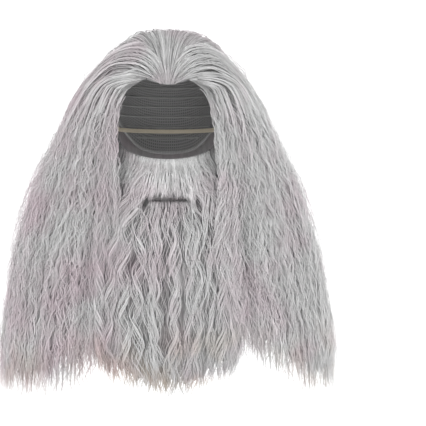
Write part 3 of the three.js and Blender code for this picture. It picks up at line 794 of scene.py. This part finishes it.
def hair_finish(name, dark, mid, pale, warm):
    """Grey hair: shade by strand, painted shade where it lies far under other hair, tinted in patches, with
    a grain along it.
    """
    material, tree, shader = new_material(name)

    def attribute(label):
        return add_node(tree, "Attribute", {}, attribute_name=label).outputs["Fac"]

    def noise(place, look):
        inputs = {"Vector": place, "Scale": look["scale"], "Detail": look["detail"]}
        return add_node(tree, "TexNoise", inputs).outputs["Fac"]

    def calculated(operation, *values):
        return add_node(tree, "Math", dict(enumerate(values)), operation=operation).outputs["Value"]

    def share_of(value, low, high, most=1.0):
        inputs = {"Value": value, "From Min": low, "From Max": high, "To Max": most}
        return add_node(tree, "MapRange", inputs).outputs["Result"]

    def multiplied(colour, by, share):
        inputs = {"A": colour, "B": linear(by), "Factor": share}
        return add_node(tree, "Mix", inputs, data_type="RGBA", blend_type="MULTIPLY").outputs["Result"]

    grain_map = add_node(tree, "UVMap", {}, uv_map="grain").outputs["UV"]
    stretched = add_node(tree, "Mapping", {"Vector": grain_map, "Scale": GRAIN["stretch"]})
    grain = noise(stretched.outputs["Vector"], GRAIN)
    tone = calculated("MULTIPLY_ADD", grain, GRAIN["share"], attribute("shade"))
    ramp = add_node(tree, "ValToRGB", {"Fac": tone})
    stops = ramp.color_ramp.elements
    stops[0].position = SHADE_STOPS[0]
    stops[0].color = linear(dark)
    stops[1].position = SHADE_STOPS[2]
    stops[1].color = linear(pale)
    stops.new(SHADE_STOPS[1]).color = linear(mid)

    place = add_node(tree, "TexCoord", {}).outputs["Object"]
    axes = add_node(tree, "SeparateXYZ", {"Vector": place}).outputs
    blush = calculated("MULTIPLY_ADD", axes["X"], BLUSH["side"], noise(place, BLUSH))
    colour = multiplied(ramp.outputs["Color"], LILAC, share_of(blush, *BLUSH["range"], BLUSH["most"]))
    patches = share_of(noise(place, WARMTH), *WARMTH["range"])
    warmth = calculated("MULTIPLY", share_of(axes["Z"], *WARMTH["heights"]), patches)
    colour = multiplied(colour, warm, warmth)
    # painted shade: hair far inside is multiplied towards a darker grey
    colour = multiplied(colour, PAINTED_SHADE_GREY, attribute("deep"))
    tree.links.new(colour, shader.inputs["Base Color"])

    ridges = {"Strength": GRAIN["bump"], "Distance": GRAIN["depth"], "Height": grain}
    tree.links.new(add_node(tree, "Bump", ridges).outputs["Normal"], shader.inputs["Normal"])
    shader.inputs["Roughness"].default_value = HAIR_GLOSS["roughness"]
    shader.inputs["Specular IOR Level"].default_value = HAIR_GLOSS["specular"]
    return material


wig_finish = hair_finish("wig_hair_grey", 182, 208, 226, (252, 245, 240))
beard_finish = hair_finish("beard_hair_grey", 181, 210, 229, (252, 241, 229))
print("hair finishes: 2")

# %% [markdown]
# ## The sides of the wig
# Each side has sheets at the bottom, broad flat strands that give it body, and coats of fine waved
# locks over them. At the front, smooth ropes of hair sweep up from roots at the hairline that are darkened
# with painted shade, and the locks part in a few gaps. Loose hairs stand off the outside, and wisps soften
# the hem. A few broad locks with painted strands would be lighter, but their outline would stay smooth.

# %% Side fields
#   settings that several coats share
BODY = {"loft": 0, "flat": 0.4, "sides": 4, "wave": 2.5, "frizz": 0}
TIPS = {"half": 0.42, "deep": 0.0, "taper": 0.5}
WISPS = {"half": 1.2, "flat": 0.4, "gather": 0.3, "deep": 0.1}
LOOSE = {"loft": 0, "half": 0.4, "wave": 3.5, "frizz": 2.0, "step": 9, "deep": 0.0}


def side_locks(flow, seed):
    """The hanging hair of one side of the wig."""
    return [
        # sheets and body, wide over the field and narrow at the edge of the face, darkened with painted
        # shade
        under_sheet(flow, (0.14, 1), (0.14, 0.97), (10, 16), columns=60, deep=0.3),
        under_sheet(flow, (0.09, 0.16), (0.4, 0.97), (13, 18), columns=8, deep=0.3),
        grow(flow, seed + 1, 60, 1, over=(0.12, 1), start=(0.13, 0.22), tip=(0.88, 0.95), sink=(7, 11),
             half=4.2, step=11, deep=0.25, taper=0.7, **BODY),
        grow(flow, seed + 9, 10, 1, over=(0.04, 0.16), start=(0.4, 0.5), tip=(0.88, 0.95), sink=(9, 13),
             half=2.2, step=11, deep=0.4, taper=0.7, **BODY),
        # waved locks, with looser ones on top
        grow(flow, seed + 2, 40, 5, start=(0.05, 0.2), tip=(0.98, 1.02), sink=(3, 8), half=0.48, core=1.6,
             wave=3.8, calm=75, stray=1.1, frizz=0.9, step=9, deep=0.08, gaps=FRONT_GAPS),
        grow(flow, seed + 3, 36, 5, start=(0.1, 0.3), tip=(0.96, 1.02), sink=(-4, 3), half=0.4, gather=0.6,
             wave=4.2, period=42, calm=75, stray=1.5, frizz=1.5, step=9, deep=0.0, gaps=FRONT_GAPS),
        # tips
        grow(flow, seed + 7, 56, 6, start=(0.7, 0.86), tip=(0.96, 1.03), sink=(-1, 12), frizz=1.0, step=10,
             tone=0.05, **TIPS),
    ]


def side_sweep(flow, inner_flow, seed):
    """The front sweep of one side of the wig, with its loose hair."""
    return [
        # ropes that sweep up from the hairline
        grow(flow, seed + 4, 17, 10, over=(0.08, 0.92), start=(0, 0.015), tip=(0.2, 0.5), sink=(-3, 3),
             loft=4, gather=0.85, grip=(0, 0.1), wave=1.0, calm=150, frizz=0.1, half=0.46, step=9, deep=0.0,
             vary=0.12, lift_over=35, gaps=FRONT_GAPS),
        # loose hairs
        grow(flow, seed + 5, 130, 1, over=(0.45, 1), start=(0.24, 0.5), tip=(0.4, 0.8), sink=(-11, -3),
             calm=70, **LOOSE),
        grow(flow, seed + 12, 90, 1, over=(0.6, 1), start=(0.55, 0.8), tip=(0.75, 0.98), sink=(-6, -2),
             calm=30, **LOOSE),
        # the edge of the face, and roots darkened with painted shade
        grow(flow, seed + 6, 9, 9, over=(0, 0.16), start=(0, 0.03), tip=(0.4, 1.0), sink=(0, 14), step=9,
             lift_over=35),
        grow(flow, seed + 8, 50, 4, start=(0, 0.012), tip=(0.08, 0.2), sink=(4, 8), loft=1, wave=0.6,
             frizz=0.2, half=0.42, deep=0.9, lift_over=30, gaps=FRONT_GAPS),
        # wisps at the hem, and locks over the beard's sides
        grow(flow, seed + 10, 170, 2, start=(0.74, 0.86), tip=(0.95, 1.01), sink=(1, 12), wave=2.5,
             frizz=0.6, step=11, taper=0.4, tone=0.04, **WISPS),
        grow(inner_flow, seed + 11, 10, 9, start=(0.26, 0.5), tip=(0.7, 1.0), sink=(-10, -3), half=0.4,
             wave=4, period=44, calm=30, frizz=0.7, step=9, deep=0.0),
    ]


left_flow = side_flow(1, LEFT_RUN, 4.0, 3.5)
left_inner = side_flow(1, INNER_RUN, 4.0, 0.0)
hair_piece("left_locks", side_locks(left_flow, 100), wig_finish, "left_hair")
hair_piece("left_sweep", side_sweep(left_flow, left_inner, 100), wig_finish, "left_hair")
right_flow = side_flow(-1, RIGHT_RUN, 8.0, 2.0)
right_inner = side_flow(-1, INNER_RUN, 4.0, 0.0)
hair_piece("right_locks", side_locks(right_flow, 200), wig_finish, "right_hair")
hair_piece("right_sweep", side_sweep(right_flow, right_inner, 200), wig_finish, "right_hair")

# %% [markdown]
# ## The back of the wig
# The back falls from the crown in one wide fan. It is made like the sides, with one more sheet close
# under the crown, where the hair lies flat and the cap would show between the strands.

# %% Back field
BACK = {"loft": 2, "grip": (0.25, 0.6), "frizz": 0.8, "bury": 3, "lift_over": 35}
back_locks = [
    # sheets and body, darkened with painted shade
    under_sheet(back_flow, (0, 1), (0.08, 0.92), (9, 15), columns=60, deep=0.7),
    under_sheet(back_flow, (0.1, 0.9), (0.08, 0.58), (2.8, 6), columns=40, rows=30, wave=0.8, dive=7),
    grow(back_flow, 301, 64, 1, start=(0.07, 0.16), tip=(0.84, 0.92), sink=(5, 9), half=4.8, step=12,
         calm=120, taper=0.55, **BODY),
    # waved locks, with looser ones on top
    grow(back_flow, 302, 28, 5, start=(0, 0.2), tip=(0.97, 1.0), sink=(2, 6), half=0.55, core=1.8, calm=160,
         step=11, deep=0.25, **BACK),
    grow(back_flow, 303, 27, 5, start=(0, 0.25), tip=(0.95, 1.0), sink=(-1, 3), wave=3.2, calm=150,
         gather=0.6, step=10, deep=0.0, **BACK),
    # tips
    grow(back_flow, 305, 44, 5, start=(0.72, 0.88), tip=(0.96, 1.01), sink=(-2, 11), frizz=1.0, step=10,
         tone=0.05, **TIPS),
]
back_sweep = [
    # loose hairs
    grow(back_flow, 304, 60, 1, start=(0.32, 0.6), tip=(0.4, 0.9), sink=(-4, -1), loft=0, frizz=1.2,
         half=0.26, step=9, deep=0.0, tone=0.1, calm=90),
    # roots behind the peak
    grow(back_flow, 306, 26, 7, start=(0, 0.02), tip=(0.12, 0.4), sink=(-1, 3), loft=1, gather=0.2,
         grip=(0.2, 0.5), wave=1.2, loose=0.8, frizz=0.3, half=0.42, step=9, deep=0.25, lift_over=35),
    # wisps at the hem
    grow(back_flow, 307, 170, 2, start=(0.7, 0.85), tip=(0.93, 0.99), sink=(1, 11), wave=2.5, frizz=0.6,
         step=11, taper=0.35, **WISPS),
    # more hair on the crown
    grow(back_flow, 308, 40, 2, over=(0.06, 0.94), start=(0.08, 0.16), tip=(0.4, 0.62), sink=(0, 2.5),
         loft=0.5, gather=0.2, wave=2, calm=120, frizz=0.4, half=0.42, step=10, deep=0.1, bury=5,
         lift_over=30, taper=0.7),
]
hair_piece("back_locks", back_locks, wig_finish, "back_hair")
hair_piece("back_sweep", back_sweep, wig_finish, "back_hair")

# %% [markdown]
# ## The beard's hair
# The beard's waves are longer and deeper, so its locks part and cross, with dark gaps between them, partly
# rendered shadow and partly painted shade on the hair beneath. They are out of step on purpose: one wave
# across the whole beard would look pressed.

# %% Beard
BEARD_WAVE = {"period": 60, "calm": 22, "step": 6.5, "frizz": 0.1}
CHEEK = {"start": (0, 0.02), "tip": (0.12, 0.4), "sink": (1, 6), "lift_over": 25, "gaps": BEARD_GAPS}
EDGE = {"start": (0, 0.02), "tip": (0.15, 0.4), "sink": (2, 9), "lift_over": 20}
beard_locks = [
    # sheet and body, darkened with painted shade
    under_sheet(beard_flow, (0.04, 0.96), (0.06, 0.93), (14, 18), rows=36, columns=40, deep=0.85),
    grow(beard_flow, 401, 40, 1, start=(0.1, 0.2), tip=(0.84, 0.93), sink=(10, 13), loft=0, half=3.0,
         flat=0.45, sides=4, wave=4, deep=0.45, taper=0.6, **BEARD_WAVE),
    # locks under the top, darkened with painted shade, and pale ones that cross over them
    grow(beard_flow, 402, 24, 7, start=(0, 0.03), tip=(0.95, 1.01), sink=(5, 10), half=0.42, gather=0.2,
         wave=4, apart=1.0, even=0.2, deep=0.55, lift_over=40, gaps=BEARD_GAPS, **BEARD_WAVE),
    grow(beard_flow, 403, 18, 17, over=(0.03, 0.97), start=(0, 0.12), tip=(0.9, 1.01), sink=(-3, 4), loft=4,
         half=0.4, core=2.4, gather=0.68, pinched=0.2, wave=5.4, apart=1.7, loose=0.03, even=0.03, deep=0.0,
         lift_over=40, gaps=BEARD_GAPS, **BEARD_WAVE),
    # short hair on the cheeks and under the mouth
    grow(beard_flow, 404, 7, 12, over=(0, 0.33), wave=3, deep=0.2, **CHEEK, **BEARD_WAVE),
    grow(beard_flow, 405, 7, 12, over=(0.67, 1), wave=3, deep=0.2, **CHEEK, **BEARD_WAVE),
    grow(beard_flow, 406, 9, 12, over=(0.3, 0.7), start=(0, 0.01), tip=(0.06, 0.3), sink=(2, 7), wave=3,
         deep=0.2, lift_over=8, gaps=BEARD_GAPS, **BEARD_WAVE),
    # loose hairs and tips
    grow(beard_flow, 407, 40, 1, start=(0.1, 0.6), tip=(0.5, 1.0), sink=(-5, -1), loft=0, half=0.28, wave=5,
         apart=1.5, deep=0.0, tone=0.05, **BEARD_WAVE),
    grow(beard_flow, 408, 22, 11, start=(0.66, 0.84), tip=(0.95, 1.03), sink=(-1, 10), core=1.4, gather=0.6,
         wave=4, apart=1.2, loose=0.04, even=0.03, **TIPS, **BEARD_WAVE),
    # hair at the edges and inside the mouth line, darkened with painted shade
    grow(beard_flow, 409, 6, 11, over=(0, 0.2), wave=3, deep=0.7, **EDGE, **BEARD_WAVE),
    grow(beard_flow, 410, 6, 11, over=(0.8, 1), wave=3, deep=0.7, **EDGE, **BEARD_WAVE),
    grow(beard_flow, 411, 16, 9, over=(0.3, 0.7), start=(0, 0.004), tip=(0.05, 0.12), sink=(5, 12), wave=1,
         lift_over=5, gaps=BEARD_GAPS, **BEARD_WAVE),
    # wisps at the tips
    grow(beard_flow, 412, 56, 3, start=(0.68, 0.82), tip=(0.94, 1.0), sink=(2, 11), wave=4, apart=1.0,
         taper=0.4, **WISPS, **BEARD_WAVE),
]
hair_piece("beard_locks", beard_locks, beard_finish, "beard_hair")

# %% [markdown]
# ## The moustache
# The moustache is short and nearly straight, and ends above the mouth slit. It has a flow of its own,
# because it spreads to the sides where the beard falls.

# %% Moustache
SHORT = {"loft": 1.5, "half": 0.42, "wave": 0.8, "period": 30, "calm": 20, "step": 6.5, "lift_over": 22}
moustache_locks = [
    # a sheet and a lower coat darkened with painted shade, under pale strands
    under_sheet(moustache_flow, (0, 1), (0.02, 0.8), (4, 7), columns=20, rows=12, wave=0.3),
    grow(moustache_flow, 501, 36, 12, start=(0, 0.02), tip=(0.95, 1.01), sink=(1, 5), taper=0.93, deep=0.5,
         gaps=BEARD_GAPS, **SHORT),
    grow(moustache_flow, 502, 28, 10, start=(0, 0.25), tip=(0.9, 1.01), sink=(-1, 1), taper=0.9, deep=0.0,
         gather=0.8, vary=0.2, gaps=BEARD_GAPS, **SHORT),
]
hair_piece("moustache_locks", moustache_locks, beard_finish, "moustache_hair")

# %% [markdown]
# ## The cloth pieces
# Three pieces are cloth: the cap, the beard's backing and its elastic. Each starts as a flat grid that
# is laid on its form. A grid brings its own UV map, so the weave lies straight on the cloth.

# %% Cloth helpers
GAP = 0.4 * MM  # between the beard's hair and its backing
BACKING_WALL = 1.8 * MM
MERGED = 0.01 * MM  # distance below which points become one


def give_wall(piece, wall):
    """Thicken an open sheet outwards."""
    bpy.context.view_layer.objects.active = piece
    solidify = piece.modifiers.new("wall", "SOLIDIFY")
    solidify.thickness = wall
    solidify.offset = 1
    bpy.ops.object.modifier_apply(modifier="wall")


def laid_sheet(name, columns, rows, place, wall=0.0):
    """A grid laid on a form by place(u, v), joined where its edges meet, with a wall if one is given."""
    bpy.ops.object.select_all(action="DESELECT")
    bpy.ops.mesh.primitive_grid_add(x_subdivisions=columns, y_subdivisions=rows, size=1)
    piece = bpy.context.object
    piece.name = name
    flat = np.empty(3 * len(piece.data.vertices))
    piece.data.vertices.foreach_get("co", flat)
    u, v, _ = flat.reshape(-1, 3).T + 0.5
    piece.data.vertices.foreach_set("co", place(u, v).ravel())
    bpy.ops.object.mode_set(mode="EDIT")
    bpy.ops.mesh.select_all(action="SELECT")
    bpy.ops.mesh.remove_doubles(threshold=MERGED)
    bpy.ops.mesh.normals_make_consistent(inside=False)
    bpy.ops.object.mode_set(mode="OBJECT")
    bpy.ops.object.shade_smooth()
    if wall:
        give_wall(piece, wall)
    return piece


def joined(pieces):
    """One object from several."""
    bpy.ops.object.select_all(action="DESELECT")
    for piece in pieces:
        piece.select_set(True)
    bpy.context.view_layer.objects.active = pieces[0]
    bpy.ops.object.join()
    return pieces[0]


def finish_cloth(piece, node):
    """Attach a cloth piece to the root, hide the node of the frame that it replaces, and print its
    triangles.
    """
    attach(piece, "root")
    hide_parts(node)
    triangles = sum(len(face.vertices) - 2 for face in piece.data.polygons)
    print(piece.name, "has", triangles, "triangles")


print("wall of the backing:", BACKING_WALL / MM, "mm")

# %% [markdown]
# ## Cloth finishes
# Net, tape, backing and elastic are all woven, so one finish serves them, in other colours and with
# other numbers of threads. Two wave textures cross on the UV map and make the threads, which are too
# many to be modelled, with painted shade in the gaps between them.

# %% Cloth finishes
WEAVE = {"Distortion": 0.6, "Detail": 1.0}  # inputs of the wave texture that makes the threads
WEAVE_BUMP = 0.8


def cloth_finish(name, thread, painted_gap_shade, across, along, rough, depth):
    """Woven cloth on a UV map: two sets of threads in their own colour, and darker painted shade in the
    gaps.
    """
    material, tree, shader = new_material(name)
    place = add_node(tree, "UVMap", {}, uv_map="UVMap").outputs["UV"]

    def threads(direction, scale):
        inputs = {"Vector": place, "Scale": scale, **WEAVE}
        return add_node(tree, "TexWave", inputs, bands_direction=direction).outputs["Fac"]

    sets = {0: threads("X", across), 1: threads("Y", along)}
    weave = add_node(tree, "Math", sets, operation="MAXIMUM").outputs["Value"]
    # painted shade: the gaps between the threads take the darker colour
    colours = {"A": linear(painted_gap_shade), "B": linear(thread), "Factor": weave}
    colour = add_node(tree, "Mix", colours, data_type="RGBA")
    ridges = add_node(tree, "Bump", {"Strength": WEAVE_BUMP, "Distance": depth * MM, "Height": weave})
    tree.links.new(colour.outputs["Result"], shader.inputs["Base Color"])
    tree.links.new(ridges.outputs["Normal"], shader.inputs["Normal"])
    shader.inputs["Roughness"].default_value = rough
    return material


net_finish = cloth_finish("cap_net_grey", 150, 96, 46, 16, 0.85, 0.5)
tape_finish = cloth_finish("cap_tape_grey", 168, 120, 60, 3, 0.8, 0.3)
backing_finish = cloth_finish("backing_cloth_grey", 138, 104, 30, 22, 0.9, 0.4)
elastic_finish = cloth_finish("elastic_cream", (232, 222, 202), (196, 184, 160), 110, 2, 0.75, 0.4)
print("cloth finishes: 4")

# %% [markdown]
# ## The cap
# The cap is a dome of stretch net with a bound edge, and rows of narrow tape inside it hold the hair.
# It could be cut from a sphere, but a head isn't round, so a grid is laid on the table of the head and
# ends at a line of its own.

# %% Places on the cap
#   row of HEAD at which the cap ends, every 15 degrees from the front to the back
CAP_EDGE = np.array([3.98, 3.82, 3.6, 3.85, 4.5, 5.3, 4.8, 5.2, 5.75, 6.3, 6.68, 6.86, 6.9])
EDGE_TURN = 15
BINDING = {
    "tall": 3.0 * MM,
    "thick": 1.4 * MM,
    "front": 0.2,  # share of these that is left at the face
    "full": (0.8, 1.4),  # turn from the front between which it grows to the whole
}
TAPE = {
    "tall": 1.7 * MM,
    "thick": 0.6 * MM,
    "inside": 0.5 * MM,  # how far inside the cap it lies
    "clear": 0.3,  # rows of HEAD by which it keeps off the edge
    "whole": 3.1,  # reach from which it goes all the way round
    "ends": 30,  # how fast its ends grow to the full size
}
TAPE_ROWS = np.linspace(1.6, 6.2, 10)


def on_head(azimuth, row, lift):
    """Points inside the cap at a row of HEAD, lifted outwards."""
    z, side, front, back = (between(HEAD[:, k], row) for k in range(4))
    return on_section(z, side + lift, front + lift, back + lift, azimuth)


def from_front(azimuth):
    """How far an azimuth is turned from the front, to either side."""
    return np.abs((azimuth + math.pi) % FULL_TURN - math.pi)


def cap_edge(azimuth):
    """Row of HEAD at which the cap ends."""
    return between(CAP_EDGE, np.degrees(from_front(azimuth)) / EDGE_TURN)


def cap_dome(u, v):
    azimuth = FULL_TURN * u
    return on_head(azimuth, v * cap_edge(azimuth), 0.0)


def rim(u, v):
    """Places on the binding, a roll round the edge of the cap."""
    azimuth = FULL_TURN * u
    turn = FULL_TURN * v
    bound = mix(BINDING["front"], 1, smooth(from_front(azimuth), *BINDING["full"]))
    at = on_head(azimuth, cap_edge(azimuth), 0.5 * CAP_WALL * MM + bound * BINDING["thick"] * np.cos(turn))
    at[:, 2] += bound * BINDING["tall"] * np.sin(turn)
    return at


def tape_arc(row):
    """How far round from the back a tape row reaches before it meets the edge of the cap."""
    turned = np.linspace(0, math.pi, 181)
    outside = turned[cap_edge(turned) < row + TAPE["clear"]]
    return math.pi - (outside.max() if len(outside) else 0.0)


def tape(row):
    """Places on a row of tape, whose ends are slim where they meet the edge of the cap."""
    reach = tape_arc(row)

    def place(u, v):
        azimuth = math.pi + reach * (2 * u - 1)
        ends = np.minimum(1, TAPE["ends"] * np.minimum(u, 1 - u))
        slim = np.ones_like(u) if reach > TAPE["whole"] else ends
        turn = FULL_TURN * v
        at = on_head(azimuth, row, -TAPE["inside"] + slim * TAPE["thick"] * np.cos(turn))
        at[:, 2] += slim * TAPE["tall"] * np.sin(turn)
        return at
    return place


print("tape rows:", len(TAPE_ROWS))

# %% Cap
dome = laid_sheet("cap", 96, 40, cap_dome, CAP_WALL * MM)
dome.data.materials.append(net_finish)
binding = laid_sheet("cap_binding", 96, 10, rim)
binding.data.materials.append(tape_finish)
tapes = [laid_sheet("cap_tape", 72, 6, tape(row)) for row in TAPE_ROWS]
for strip in tapes:
    strip.data.materials.append(tape_finish)
cap = joined([dome, binding, *tapes])
finish_cloth(cap, "wig_cap")

# %% [markdown]
# ## The beard's backing
# The backing is a curved panel of cloth with a slit for the mouth. The faces of the slit are deleted
# while the panel is a single sheet, so the wall that it gets afterwards closes round the slit. A
# boolean cut would do too, but it leaves a rougher mesh.

# %% Beard backing
MOUTH = {"half": 23 * MM, "z": -217 * MM, "height": 8 * MM}
BACKING_ROWS = 3  # rows of BEARD that the backing reaches down to


def backing_face(u, v):
    return on_beard(2 * u - 1, BACKING_ROWS * v, -GAP - BACKING_WALL + 0 * u)[0]


backing = laid_sheet("beard_cloth", 84, 36, backing_face)
bpy.ops.object.mode_set(mode="EDIT")
bpy.ops.mesh.select_all(action="DESELECT")
bpy.ops.object.mode_set(mode="OBJECT")
for face in backing.data.polygons:
    low = abs(face.center.z - MOUTH["z"]) < MOUTH["height"] / 2
    face.select = low and face.center.y < 0 and abs(face.center.x) < MOUTH["half"]
bpy.ops.object.mode_set(mode="EDIT")
bpy.ops.mesh.delete(type="FACE")
bpy.ops.object.mode_set(mode="OBJECT")
give_wall(backing, BACKING_WALL)
backing.data.materials.append(backing_finish)
finish_cloth(backing, "beard_backing")


# %% [markdown]
# ## The elastic
# A flat woven strap goes from one cheek round the back of the head to the other, inside the cap. A
# bevelled curve may twist on its way, so a grid is laid along the route instead and stays upright.

# %% Elastic
STRAP = {
    "width": 6 * MM,
    "thick": 1 * MM,
    "inset": 1.6 * MM,  # how far inside the cap it runs
    "clear": 1.3 * MM,  # how far behind the backing it starts
    "corner_row": 0.35,  # row of BEARD at which it starts
    "row": 5.9,  # row of HEAD along which it goes round
    "azimuth": 100,  # where it reaches that row, in degrees
    "points": 30,
    "nearby": 0.005,  # share of its length to the neighbours that give its direction
}
strap_corner = on_beard(np.array(1.0), np.array(STRAP["corner_row"]), np.array(-GAP - BACKING_WALL / 2))[0]


def strap_path(u):
    """Points of the elastic's middle line, from the beard's left corner round the head to its right."""
    turned = np.linspace(STRAP["azimuth"], 360 - STRAP["azimuth"], STRAP["points"])
    row = np.full(STRAP["points"], STRAP["row"])
    round_head = on_head(np.radians(turned), row, -STRAP["inset"] - STRAP["thick"] / 2)
    first = strap_corner + np.array([0, STRAP["clear"], 0])
    points = np.concatenate([[first], round_head, [first * np.array([-1, 1, 1])]])
    at = np.concatenate([[0], np.cumsum(np.linalg.norm(np.diff(points, axis=0), axis=1))])
    rows = np.interp(u, at / at[-1], np.arange(len(points)))
    return np.stack([between(points[:, k], rows) for k in range(3)], -1), at[-1]


def strap_face(u, v):
    ahead = strap_path(np.minimum(u + STRAP["nearby"], 1))[0]
    along = ahead - strap_path(np.maximum(u - STRAP["nearby"], 0))[0]
    out = unit(np.stack([along[:, 1], -along[:, 0], 0 * u], -1))
    at = strap_path(u)[0] - out * STRAP["thick"] / 2
    at[:, 2] += STRAP["width"] * (v - 0.5)
    return at


strap = laid_sheet("elastic_strap", 120, 6, strap_face, STRAP["thick"])
strap.data.materials.append(elastic_finish)
finish_cloth(strap, "beard_strap")
print("elastic:", round(float(strap_path(np.array([0.0]))[1]), 3), "m long")
